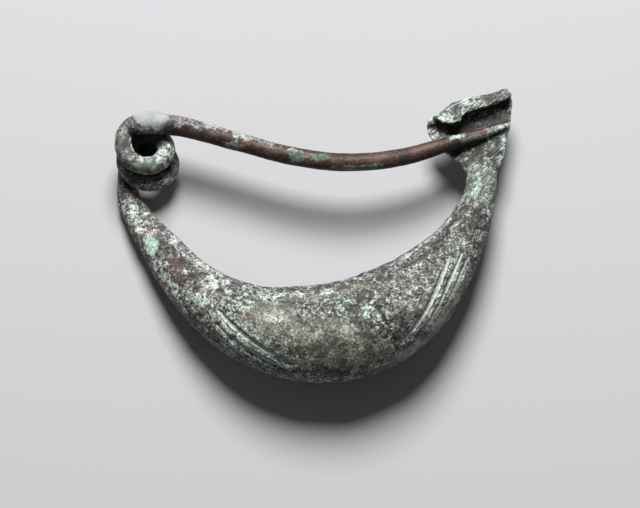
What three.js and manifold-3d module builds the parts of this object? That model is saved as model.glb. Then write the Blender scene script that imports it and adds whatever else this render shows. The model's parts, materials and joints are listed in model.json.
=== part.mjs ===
// Leech-type bow fibula (safety-pin brooch): a swollen bronze bow that runs at one end into a spring
// coil and a long pin, and at the other into a catch-plate whose upper edge is rolled over.
// Millimetres, +Z up. The brooch lies on its side on a small flat spot of the belly and on its coil,
// with the origin under the middle of its box.
//
// The bow is laid out in its own plane: x along the brooch, y from the belly up to the pin, and z out
// of the plane towards the pin's side. The finished solid is then turned as it lies.

import * as THREE from 'three';
import { mergeVertices } from 'three/addons/utils/BufferGeometryUtils.js';
import Module from 'manifold-3d';

const wasm = await Module();
wasm.setup();

// ---- driving dimensions ----

const BOW_DEPTH = 0.92; // the bow's thickness over its height, where its belly is fullest
const HEEL_DEPTH = 1.0; // the same towards the catch, where the underside is fuller
const HEEL_RANGE = [ 0, 10 ]; // along x, where the underside fills out
const ARM_BEND = 2.86; // how far the arm at the coil is bent down out of the bow's plane
const ARM_RANGE = [ 8, 33 ]; // along -x, where the arm bends
const RING_SIDES = 24;
const BOW_STEPS = 3; // rings between two stations of the bow
const PIN_STEPS = 3; // rings between two stations of the pin

const SHEET = 1.1; // thickness of the catch-plate
const ROLL_RADIUS = 1.9; // outside radius of its rolled edge
const ROLL_SLOPE = 19; // degrees that the rolled edge climbs towards its end
const ROLL_START = new THREE.Vector3( 18.7, 22.65, 0 ); // top of the roll above the lip's free end
const ROLL_ENDS = [ - 2.3, 12.4 ]; // its two ends, along the roll from ROLL_START
const ROLL_SEGMENTS = 10;
const ROLL_STEPS = 12;
const ROLL_HUMP = { height: 1.0, rise: [ - 0.5, 3 ], fall: [ 5, 10 ], rest: 0.45 }; // its thick upper side
const LIP = 2.75; // how far the lip hangs below the top of the roll
const BREAK_DEPTH = 3 * ROLL_RADIUS; // how deep the cutters reach that break it

const COIL = {
	turns: 2.25,
	stationsPerTurn: 16,
	pitch: 3.35,
	first: { x: - 28.05, y: 14.45, reachX: 3.5, reachY: 3.45, wire: 1.7 }, // lowest turn, at the bow
	last: { x: - 28.6, y: 18.1, reachX: 3.3, reachY: 3.1, wire: 1.4 }, // highest turn, at the pin
	depth: 1.6, // half thickness across the turns, which leaves a fine gap between them
	root: 0.45, // how much thicker the mended root of the pin is, towards the coil's inside
	rootFrom: 0.93, // share of the coil where it starts to thicken
};

const LIE = { rise: 2.0, fall: 3.6 }; // degrees: up towards the catch, down towards the pin
const BELLY_FLAT = 0.3; // how deep the worn flat spot is under the belly
const GROUND = 200; // side of the block that cuts the flat spot

// Cut ornament of the bow: three grooves towards each end, fanning from the back over the side. Each
// runs between two places of (stations from the foot, degrees around from the bow's outer edge).
const GROOVE_DEPTH = 0.35;
const GROOVE_TIP = 0.15; // size at its two points, as a share of its full section
const GROOVE_SIDES = 6;
const GROOVE_STEPS = 9;
const GROOVE_LOOK = 0.01; // share of its length over which its direction is taken
const GROOVES = [
	{ from: [ 5.5, 82 ], to: [ 7.9, 37 ], width: 0.95 },
	{ from: [ 5.25, 66 ], to: [ 7.4, 34 ], width: 0.8 },
	{ from: [ 5.2, 50 ], to: [ 6.8, 30 ], width: 0.8 },
	{ from: [ 11.85, 77 ], to: [ 10.05, 37 ], width: 0.95 },
	{ from: [ 11.7, 54 ], to: [ 10.2, 27 ], width: 0.8 },
	{ from: [ 11.6, 36 ], to: [ 11.0, 27 ], width: 0.7 },
];

// ---- the bow, coil and pin: one drawn-out body of round section ----

// One station of the body: a centre, a half height in the bow's plane and a half thickness.
const station = ( x, y, z, half, thick = half ) => ( { centre: new THREE.Vector3( x, y, z ), half, thick } );

function bowStation( x, y, half ) {

	const bend = THREE.MathUtils.smoothstep( - x, ...ARM_RANGE );
	const heel = THREE.MathUtils.smoothstep( x, ...HEEL_RANGE );
	const depth = THREE.MathUtils.lerp( BOW_DEPTH, HEEL_DEPTH, heel );
	return station( x, y, - ARM_BEND * bend, half, half * depth );

}

const foot = [
	station( 26.5, 17.6, 0, 2.2, 0.4 ),
	station( 26.0, 15.2, 0, 2.5, 0.85 ),
	station( 25.6, 12.6, 0, 2.5, 2.1 ),
];

const bow = [
	bowStation( 25.3, 9.6, 2.6 ),
	bowStation( 24.0, 5.8, 3.1 ),
	bowStation( 21.65, 1.3, 4.15 ),
	bowStation( 18.2, - 3.3, 5.5 ),
	bowStation( 14.4, - 7.1, 6.8 ),
	bowStation( 9.5, - 10.3, 7.7 ),
	bowStation( 3.5, - 12.5, 8.05 ),
	bowStation( - 3.4, - 12.85, 7.7 ),
	bowStation( - 10.3, - 11.55, 6.65 ),
	bowStation( - 16.4, - 8.4, 5.3 ),
	bowStation( - 21.6, - 3.85, 4.15 ),
	bowStation( - 25.95, 1.55, 3.25 ),
	bowStation( - 29.3, 6.1, 2.45 ),
	bowStation( - 31.5, 10.2, 1.85 ),
];

// The spring winds clockwise from the bow's end and climbs to the pin, tightening a little.
function coilStations() {

	const { first, last, turns, pitch, stationsPerTurn, depth, root, rootFrom } = COIL;
	const count = Math.round( turns * stationsPerTurn );
	const stations = [];

	for ( let i = 0; i <= count; i ++ ) {

		const share = i / count;
		const angle = Math.PI - share * turns * 2 * Math.PI;
		const between = ( key ) => THREE.MathUtils.lerp( first[ key ], last[ key ], share );
		const swell = root * THREE.MathUtils.smoothstep( share, rootFrom, 1 );
		const x = between( 'x' ) + ( between( 'reachX' ) - swell ) * Math.cos( angle );
		const y = between( 'y' ) + ( between( 'reachY' ) - swell ) * Math.sin( angle );
		stations.push( station( x, y, share * turns * pitch - ARM_BEND, between( 'wire' ) + swell, depth ) );

	}

	return stations;

}

const pin = [
	station( - 22.8, 20.3, 4.4, 1.65 ),
	station( - 13.8, 17.8, 4.2, 1.55 ),
	station( - 4.8, 15.3, 4.1, 1.5 ),
	station( 4.1, 14.2, 3.9, 1.5 ),
	station( 13.0, 15.2, 3.1, 1.45 ),
	station( 21.8, 18.1, 2.0, 1.15 ),
	station( 26.3, 19.6, 1.25, 0.8 ),
	station( 30.2, 21.0, 0.75, 0.4 ),
];

const coil = coilStations();
const stations = [ ...foot, ...bow, ...coil, ...pin ];
const spans = stations.length - 1;
const centreLine = new THREE.CatmullRomCurve3( stations.map( ( s ) => s.centre ) );
const sizeLine = new THREE.CatmullRomCurve3(
	stations.map( ( s ) => new THREE.Vector3( s.half, s.thick, 0 ) ) );

// A point of the body's skin: `place` counts stations from the foot, and `around` is the angle from
// the bow's outer edge, positive towards the pin's side.
function skinPoint( place, around, lift = 0 ) {

	const t = place / spans;
	const centre = centreLine.getPoint( t );
	const size = sizeLine.getPoint( t );
	const along = centreLine.getTangent( t );
	const outward = new THREE.Vector3( - along.y, along.x, 0 ).normalize();
	const side = new THREE.Vector3().crossVectors( along, outward ).normalize();

	return centre
		.addScaledVector( outward, ( size.x + lift ) * Math.cos( around ) )
		.addScaledVector( side, ( size.y + lift ) * Math.sin( around ) );

}

// Turns rings of points, all with the same count, into a closed geometry with flat or pointed ends.
function loft( rings ) {

	const sides = rings[ 0 ].length;
	const positions = [];
	const indices = [];
	const middle = ( ring ) => ring
		.reduce( ( sum, p ) => sum.add( p ), new THREE.Vector3() )
		.divideScalar( sides );

	for ( const p of rings.flat() ) positions.push( p.x, p.y, p.z );

	for ( let r = 0; r < rings.length - 1; r ++ ) {

		for ( let i = 0; i < sides; i ++ ) {

			const a = r * sides + i;
			const b = r * sides + ( i + 1 ) % sides;
			indices.push( a, b, a + sides, b, b + sides, a + sides );

		}

	}

	const firstMiddle = positions.length / 3;
	const lastMiddle = firstMiddle + 1;
	const lastRing = ( rings.length - 1 ) * sides;
	for ( const p of [ middle( rings[ 0 ] ), middle( rings.at( - 1 ) ) ] ) positions.push( p.x, p.y, p.z );

	for ( let i = 0; i < sides; i ++ ) {

		const next = ( i + 1 ) % sides;
		indices.push( firstMiddle, next, i );
		indices.push( lastMiddle, lastRing + i, lastRing + next );

	}

	const geometry = new THREE.BufferGeometry();
	geometry.setAttribute( 'position', new THREE.Float32BufferAttribute( positions, 3 ) );
	geometry.setIndex( indices );
	return geometry;

}

function bodyGeometry() {

	const places = [];
	const coilStart = foot.length + bow.length;
	const pinStart = coilStart + coil.length - 1;

	for ( let s = 0; s < spans; s ++ ) {

		const steps = s < coilStart ? BOW_STEPS : s < pinStart ? 1 : PIN_STEPS;
		for ( let i = 0; i < steps; i ++ ) places.push( s + i / steps );

	}

	places.push( spans );

	const ring = ( place ) => Array.from(
		{ length: RING_SIDES },
		( _, i ) => skinPoint( place, i / RING_SIDES * 2 * Math.PI ) );

	return loft( places.map( ring ) );

}

// A slim cutter along a groove, pointed at both ends; `face` is 1 for the pin's side, -1 for the back.
function grooveGeometry( { from, to, width }, face ) {

	const at = ( share, lift = 0 ) => skinPoint(
		THREE.MathUtils.lerp( from[ 0 ], to[ 0 ], share ),
		face * THREE.MathUtils.degToRad( THREE.MathUtils.lerp( from[ 1 ], to[ 1 ], share ) ),
		lift );
	const rings = [];

	for ( let i = 0; i <= GROOVE_STEPS; i ++ ) {

		const share = i / GROOVE_STEPS;
		const taper = THREE.MathUtils.lerp( GROOVE_TIP, 1, Math.sqrt( Math.sin( Math.PI * share ) ) );
		const middle = at( share );
		const out = at( share, 1 ).sub( middle ).normalize();
		const along = at( share + GROOVE_LOOK ).sub( at( share - GROOVE_LOOK ) ).normalize();
		const across = new THREE.Vector3().crossVectors( out, along );
		const ring = Array.from( { length: GROOVE_SIDES }, ( _, k ) => {

			const angle = k / GROOVE_SIDES * 2 * Math.PI;
			return middle.clone()
				.addScaledVector( across, Math.cos( angle ) * taper * width / 2 )
				.addScaledVector( out, Math.sin( angle ) * taper * GROOVE_DEPTH );

		} );
		rings.push( ring );

	}

	return loft( rings );

}

// ---- the catch-plate ----

// The sheet's outline in the bow's plane: it fans out from the foot of the bow, its end is chipped,
// and its top runs up under the roll.
const PLATE_OUTLINE = [
	[ 23.4, 11.8 ], [ 27.7, 11.8 ], [ 28.0, 13.7 ], [ 28.7, 14.2 ], [ 29.3, 15.9 ], [ 29.5, 17.2 ],
	[ 30.0, 19.8 ], [ 30.3, 20.4 ], [ 30.6, 22.8 ], [ 30.5, 24.9 ], [ 18.2, 20.7 ], [ 16.8, 21.0 ],
	[ 17.2, 19.6 ], [ 18.2, 18.3 ], [ 19.8, 16.6 ], [ 21.4, 15.2 ], [ 22.1, 14.8 ], [ 23.0, 13.2 ],
];

// What is broken away, as outlines of (along the roll, below its top): from the lip alone, and from
// the roll's whole thickness at its two ends.
const LIP_BREAKS = [
	[ [ - 3, - 2 ], [ - 0.9, - 2 ], [ - 0.7, 0.6 ], [ 0.1, 1.9 ], [ 1.2, 2.5 ], [ 1.6, 4 ], [ - 3, 4 ] ],
	[ [ 3.0, 5 ], [ 3.2, 2.6 ], [ 3.7, 1.9 ], [ 5.2, 1.7 ], [ 8, 1.8 ], [ 13, 1.5 ], [ 13, 5 ] ],
];
const END_BREAKS = [
	[ [ - 3, - 2 ], [ - 0.9, - 2 ], [ - 0.9, 0.1 ], [ - 1.8, 0.3 ], [ - 2.3, 1.1 ], [ - 3, 1.2 ] ],
	[ [ 11.4, - 2 ], [ 12.2, 0.9 ], [ 12.1, 1.8 ], [ 11.3, 3.9 ], [ 11.3, 6 ], [ 14, 6 ], [ 14, - 2 ] ],
];

// The roll, across its length: from the sheet up and over to the pin's side, and down as a lip.
function rollProfile() {

	const middle = ROLL_RADIUS - SHEET / 2;
	const inner = ROLL_RADIUS - SHEET;
	const shape = new THREE.Shape();
	shape.moveTo( - SHEET / 2, - LIP );
	shape.lineTo( - SHEET / 2, - ROLL_RADIUS );
	shape.absarc( middle, - ROLL_RADIUS, ROLL_RADIUS, Math.PI, 0, true );
	shape.lineTo( middle + ROLL_RADIUS, - LIP );
	shape.lineTo( middle + inner, - LIP );
	shape.lineTo( middle + inner, - ROLL_RADIUS );
	shape.absarc( middle, - ROLL_RADIUS, inner, 0, Math.PI, false );
	shape.lineTo( SHEET / 2, - LIP );
	return shape;

}

const slope = THREE.MathUtils.degToRad( ROLL_SLOPE );
const rollAlong = new THREE.Vector3( Math.cos( slope ), Math.sin( slope ), 0 );
const rollUp = new THREE.Vector3( - Math.sin( slope ), Math.cos( slope ), 0 );
const rollOut = new THREE.Vector3( 0, 0, 1 );

function rollGeometry() {

	const { height, rise, fall, rest } = ROLL_HUMP;
	const { smoothstep, lerp } = THREE.MathUtils;
	const length = ROLL_ENDS[ 1 ] - ROLL_ENDS[ 0 ];
	const far = ROLL_START.clone().addScaledVector( rollAlong, ROLL_ENDS[ 1 ] );
	const place = new THREE.Matrix4()
		.makeBasis( rollOut, rollUp, rollAlong.clone().negate() )
		.setPosition( far );
	const options = {
		depth: length,
		steps: ROLL_STEPS,
		bevelEnabled: false,
		curveSegments: ROLL_SEGMENTS,
	};
	const geometry = new THREE.ExtrudeGeometry( rollProfile(), options );
	const position = geometry.attributes.position;

	for ( let i = 0; i < position.count; i ++ ) {

		const along = ROLL_ENDS[ 1 ] - position.getZ( i );
		const level = smoothstep( position.getY( i ), - ROLL_RADIUS, 0 );
		const hump = smoothstep( along, ...rise ) * lerp( 1, rest, smoothstep( along, ...fall ) );
		position.setY( i, position.getY( i ) + height * hump * level );

	}

	return geometry.applyMatrix4( place );

}

// A cutter for the roll: an outline of (along the roll, below its top), from a depth to its front.
function rollCutter( outline, from ) {

	const shape = new THREE.Shape( outline.map( ( [ along, below ] ) => new THREE.Vector2( along, - below ) ) );
	const place = new THREE.Matrix4().makeBasis( rollAlong, rollUp, rollOut ).setPosition( ROLL_START );
	return new THREE.ExtrudeGeometry( shape, { depth: BREAK_DEPTH, bevelEnabled: false } )
		.translate( 0, 0, from )
		.applyMatrix4( place );

}

function plateGeometry() {

	const shape = new THREE.Shape( PLATE_OUTLINE.map( ( [ x, y ] ) => new THREE.Vector2( x, y ) ) );
	return new THREE.ExtrudeGeometry( shape, { depth: SHEET, bevelEnabled: false } )
		.translate( 0, 0, - SHEET / 2 );

}

// ---- joining and cutting ----

const WELD = 1e-4; // points closer than this are one

function solid( geometry ) {

	const bare = geometry.index ? geometry.clone() : geometry;
	bare.deleteAttribute( 'normal' );
	bare.deleteAttribute( 'uv' );
	const merged = mergeVertices( bare, WELD );
	return new wasm.Manifold( new wasm.Mesh( {
		numProp: 3,
		vertProperties: merged.attributes.position.array,
		triVerts: new Uint32Array( merged.index.array ),
	} ) );

}

function geometryOf( shape ) {

	const mesh = shape.getMesh();
	const geometry = new THREE.BufferGeometry();
	geometry.setAttribute( 'position', new THREE.BufferAttribute( mesh.vertProperties, 3 ) );
	geometry.setIndex( new THREE.BufferAttribute( mesh.triVerts, 1 ) );
	return geometry;

}

const cut = ( shape, cutter ) => shape.subtract( solid( cutter ) );

const roll = [
	...LIP_BREAKS.map( ( outline ) => rollCutter( outline, ROLL_RADIUS - SHEET / 2 ) ),
	...END_BREAKS.map( ( outline ) => rollCutter( outline, - ROLL_RADIUS ) ),
].reduce( cut, solid( rollGeometry() ) );

const grooves = [ 1, - 1 ]
	.flatMap( ( face ) => GROOVES.map( ( groove ) => grooveGeometry( groove, face ) ) );
const body = grooves.reduce( cut, solid( bodyGeometry() ) );
const brooch = body.add( solid( plateGeometry() ) ).add( roll );

// ---- as it lies ----

const lying = geometryOf( brooch )
	.rotateY( - THREE.MathUtils.degToRad( LIE.rise ) )
	.rotateX( - THREE.MathUtils.degToRad( LIE.fall ) );
lying.computeBoundingBox();
lying.translate( 0, 0, - lying.boundingBox.min.z - BELLY_FLAT );

const ground = new THREE.BoxGeometry( GROUND, GROUND, GROUND ).translate( 0, 0, - GROUND / 2 );
const fibulaGeometry = geometryOf( solid( lying ).subtract( solid( ground ) ) );
fibulaGeometry.computeBoundingBox();
const middle = fibulaGeometry.boundingBox.getCenter( new THREE.Vector3() );
fibulaGeometry.computeVertexNormals();

const fibula = new THREE.Mesh( fibulaGeometry, new THREE.MeshStandardMaterial( {
	color: 0x4c4a3f,
	roughness: 0.6,
	metalness: 0.6,
	flatShading: true,
} ) );
fibula.name = 'fibula';
fibula.position.set( - middle.x, - middle.y, 0 );

const lyingBrooch = new THREE.Group();
lyingBrooch.add( fibula );

export default lyingBrooch;
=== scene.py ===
"""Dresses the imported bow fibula: its corroded bronze skin, and a plain studio round it.

The brooch is laid out in millimetres in its own plane, as its solid is: x along the brooch, y from
the belly up to the pin, z out of the plane towards the pin's side. It is then turned as it lies and
brought to metres. The scene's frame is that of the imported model, with +Z up.
"""

import json
import logging
import math
from dataclasses import dataclass, field
from enum import Enum

import bmesh
import bpy
import numpy as np
from bmesh.types import BMEdge, BMesh, BMVert
from bpy.types import Material, Mesh, Object
from mathutils import Matrix, Vector, noise

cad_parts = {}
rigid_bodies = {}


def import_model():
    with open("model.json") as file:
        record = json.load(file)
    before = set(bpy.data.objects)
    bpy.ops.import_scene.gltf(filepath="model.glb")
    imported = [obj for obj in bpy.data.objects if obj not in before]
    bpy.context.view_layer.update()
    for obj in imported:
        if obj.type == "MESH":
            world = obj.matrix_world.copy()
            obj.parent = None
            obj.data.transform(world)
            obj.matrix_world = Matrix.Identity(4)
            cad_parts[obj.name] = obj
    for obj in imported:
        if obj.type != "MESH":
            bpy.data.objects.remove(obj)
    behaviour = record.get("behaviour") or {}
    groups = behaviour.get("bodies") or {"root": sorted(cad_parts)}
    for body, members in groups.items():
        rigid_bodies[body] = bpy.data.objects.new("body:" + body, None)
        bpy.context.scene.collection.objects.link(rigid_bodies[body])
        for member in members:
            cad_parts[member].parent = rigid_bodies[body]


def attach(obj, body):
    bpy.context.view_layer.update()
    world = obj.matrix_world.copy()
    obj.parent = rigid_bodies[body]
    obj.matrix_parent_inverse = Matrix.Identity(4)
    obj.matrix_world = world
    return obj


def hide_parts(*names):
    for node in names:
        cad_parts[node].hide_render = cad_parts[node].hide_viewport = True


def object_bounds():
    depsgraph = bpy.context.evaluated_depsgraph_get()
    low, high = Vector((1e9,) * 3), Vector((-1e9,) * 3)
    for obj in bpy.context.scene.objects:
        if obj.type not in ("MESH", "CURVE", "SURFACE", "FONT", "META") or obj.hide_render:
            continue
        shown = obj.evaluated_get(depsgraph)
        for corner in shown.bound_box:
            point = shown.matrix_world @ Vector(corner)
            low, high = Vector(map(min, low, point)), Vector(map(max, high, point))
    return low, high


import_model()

LOG = logging.getLogger("fibula")
MM = 0.001
CAD_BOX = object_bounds()
Array = np.ndarray
Span = tuple[float, float]
Shares = dict[str, Array]


# ---- small helpers ---------------------------------------


def lerp(a: float, b: float, share: float) -> float:
    """Value at a share of the way from a to b."""
    return a + (b - a) * share


def smoothstep(value: Array | float, low: float, high: float) -> Array | float:
    """Smooth rise from 0 at low to 1 at high; a fall where low is the greater.

    Args:
        value: Where to take it.
        low: Where it starts.
        high: Where it ends.

    Returns:
        The share, of the same shape as value.
    """
    share = np.clip((value - low) / (high - low), 0.0, 1.0)
    return share * share * (3.0 - 2.0 * share)


@dataclass(frozen=True)
class Noise:
    """Cloudy noise over points, about -1 to 1; `shift` sets one pattern apart from another."""

    size: float
    octaves: int
    shift: float

    def over(self, points: Array) -> Array:
        """Values at points.

        Args:
            points: Places, one a row, in millimetres.

        Returns:
            One value for each point.
        """
        moved = points / self.size + self.shift
        return np.array([noise.fractal(Vector(p), 1.0, 2.0, self.octaves) for p in moved])


def apply_modifiers(obj: Object) -> Mesh:
    """New mesh of an object with its modifiers applied; the object itself is removed.

    Args:
        obj: The object, linked to the scene.

    Returns:
        The mesh.
    """
    graph = bpy.context.evaluated_depsgraph_get()
    mesh = bpy.data.meshes.new_from_object(obj.evaluated_get(graph), depsgraph=graph)
    bpy.data.objects.remove(obj)
    return mesh


def add_object(name: str, data: bpy.types.ID) -> Object:
    """New object in the scene that shows a mesh, lamp or camera."""
    obj = bpy.data.objects.new(name, data)
    bpy.context.scene.collection.objects.link(obj)
    return obj


def read_rows(items: bpy.types.bpy_prop_collection, name: str, width: int, kind: type) -> Array:
    """Values of a mesh's items, one item a row."""
    values = np.empty(len(items) * width, dtype=kind)
    items.foreach_get(name, values)
    return values.reshape(-1, width)


def mesh_object(name: str, bm: BMesh) -> Object:
    """Object in the scene that holds a bmesh, which is freed."""
    mesh = bpy.data.meshes.new(name)
    bm.to_mesh(mesh)
    bm.free()
    return add_object(name, mesh)


class Face(Enum):
    """The two broad sides of the brooch."""

    PIN_SIDE = 1
    BACK = -1


# ---- shader nodes ----------------------------------------


class Value:
    """A node's output that can stand in Python sums; each sum adds a Math node."""

    def __init__(self, graph: "Graph", socket: bpy.types.NodeSocket) -> None:
        """Keeps the graph and the socket."""
        self.graph = graph
        self.socket = socket

    def _math(self, operation: str, first: "Value | float", second: "Value | float") -> "Value":
        """Math node of two values."""
        return self.graph.node("Math", {"operation": operation}, {0: first, 1: second})

    def __add__(self, other: "Value | float") -> "Value":
        """Sum."""
        return self._math("ADD", self, other)

    __radd__ = __add__

    def __sub__(self, other: "Value | float") -> "Value":
        """Difference."""
        return self._math("SUBTRACT", self, other)

    def __rsub__(self, other: "Value | float") -> "Value":
        """Difference from a number."""
        return self._math("SUBTRACT", other, self)

    def __mul__(self, other: "Value | float") -> "Value":
        """Product."""
        return self._math("MULTIPLY", self, other)

    __rmul__ = __mul__


class Graph:
    """A material's node tree."""

    def __init__(self, name: str) -> None:
        """Starts an empty material.

        Args:
            name: The material's name.
        """
        self.material = bpy.data.materials.new(name)
        self.material.use_nodes = True
        self.tree = self.material.node_tree
        self.tree.nodes.clear()

    def node(
        self,
        kind: str,
        settings: dict | None = None,
        inputs: dict | None = None,
        output: int = 0,
    ) -> Value:
        """Adds a node.

        Args:
            kind: The node's type, without ShaderNode before it.
            settings: Its own settings, set before its sockets; "stops" holds a ramp's.
            inputs: Values or links of its sockets, by name or number.
            output: Which of its outputs is meant.

        Returns:
            That output.
        """
        made = self.tree.nodes.new("ShaderNode" + kind)
        for key, value in (settings or {}).items():
            if key == "stops":
                ramp = made.color_ramp.elements
                while len(ramp) < len(value):
                    ramp.new(1.0)
                for stop, (at, colour) in zip(ramp, value):
                    stop.position = at
                    stop.color = colour
            else:
                setattr(made, key, value)
        for key, value in (inputs or {}).items():
            if isinstance(value, Value):
                self.tree.links.new(value.socket, made.inputs[key])
            else:
                made.inputs[key].default_value = value
        return Value(self, made.outputs[output] if made.outputs else None)

    def attribute(self, name: str) -> Value:
        """A named value of the mesh's points."""
        return self.node("Attribute", {"attribute_name": name}, output=2)

    def grain(self, size: float, detail: float = 3.0, roughness: float = 0.55,
              distortion: float = 0.0, stretch: tuple[float, float, float] | None = None,
              turn: float = 0.0) -> Value:
        """Noise over the object's own coordinates.

        Args:
            size: Size of its lumps in millimetres.
            detail: How many finer layers it has.
            roughness: How strong they are.
            distortion: How far it is swirled.
            stretch: How much finer it is along x, y and z.
            turn: Radians that the stretched noise is turned about z.

        Returns:
            The noise, about 0.25 to 0.75.
        """
        place = self.node("TexCoord", output=3)
        if stretch:
            place = self.node("Mapping", {"vector_type": "TEXTURE"},
                              {0: place, 2: (0.0, 0.0, turn), 3: tuple(1.0 / k for k in stretch)})
        return self.node("TexNoise", None, {
            "Vector": place, "Scale": 1.0 / (size * MM), "Detail": detail,
            "Roughness": roughness, "Distortion": distortion})

    def step(self, value: "Value", low: "Value | float", high: "Value | float") -> Value:
        """Smooth step of a value, from 0 at low to 1 at high."""
        return self.node("MapRange", {"interpolation_type": "SMOOTHSTEP"},
                         {0: value, 1: low, 2: high, 3: 0.0, 4: 1.0})

    def mix(self, share: "Value | float", first: "Value | tuple", second: "Value | tuple") -> Value:
        """Colour at a share of the way from the first to the second."""
        return self.node("Mix", {"data_type": "RGBA"},
                         {0: share, 6: first, 7: second}, output=2)

    def ramp(self, value: "Value", stops: tuple) -> Value:
        """Colour ramp of a value."""
        return self.node("ValToRGB", {"stops": stops}, {0: value})

    def finish(self, inputs: dict) -> Material:
        """Ends the tree in one shader.

        Args:
            inputs: Values or links of the shader's sockets.

        Returns:
            The material.
        """
        shader = self.node("BsdfPrincipled", None, inputs)
        self.node("OutputMaterial", None, {"Surface": shader})
        return self.material


def rgb(red: float, green: float, blue: float) -> tuple[float, float, float, float]:
    """Colour of a socket, from linear red, green and blue."""
    return (red, green, blue, 1.0)


# ---- the drawn-out body: bow, coil and pin ---------------


@dataclass
class Coil:
    """The spring, which climbs from the bow to the pin and tightens a little."""

    turns: float = 2.25
    per_turn: int = 16
    pitch: float = 3.35
    depth: float = 1.6
    first: tuple[float, ...] = (-28.05, 14.45, 3.5, 3.45, 1.7)
    last: tuple[float, ...] = (-28.6, 18.1, 3.3, 3.1, 1.4)
    root: float = 0.45
    root_from: float = 0.93

    def stations(self, floor: float) -> list[tuple[float, ...]]:
        """Rows of (x, y, z, half height, half thickness) along the coil.

        Args:
            floor: Height of its lowest turn.

        Returns:
            The rows, from the bow to the pin.
        """
        count = round(self.turns * self.per_turn)
        rows = []
        for i in range(count + 1):
            share = i / count
            angle = math.pi - share * self.turns * 2 * math.pi
            x, y, wide, high, wire = (lerp(a, b, share) for a, b in zip(self.first, self.last))
            swell = self.root * float(smoothstep(share, self.root_from, 1.0))
            rows.append((x + (wide - swell) * math.cos(angle), y + (high - swell) * math.sin(angle),
                         share * self.turns * self.pitch + floor, wire + swell, self.depth))
        return rows


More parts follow.
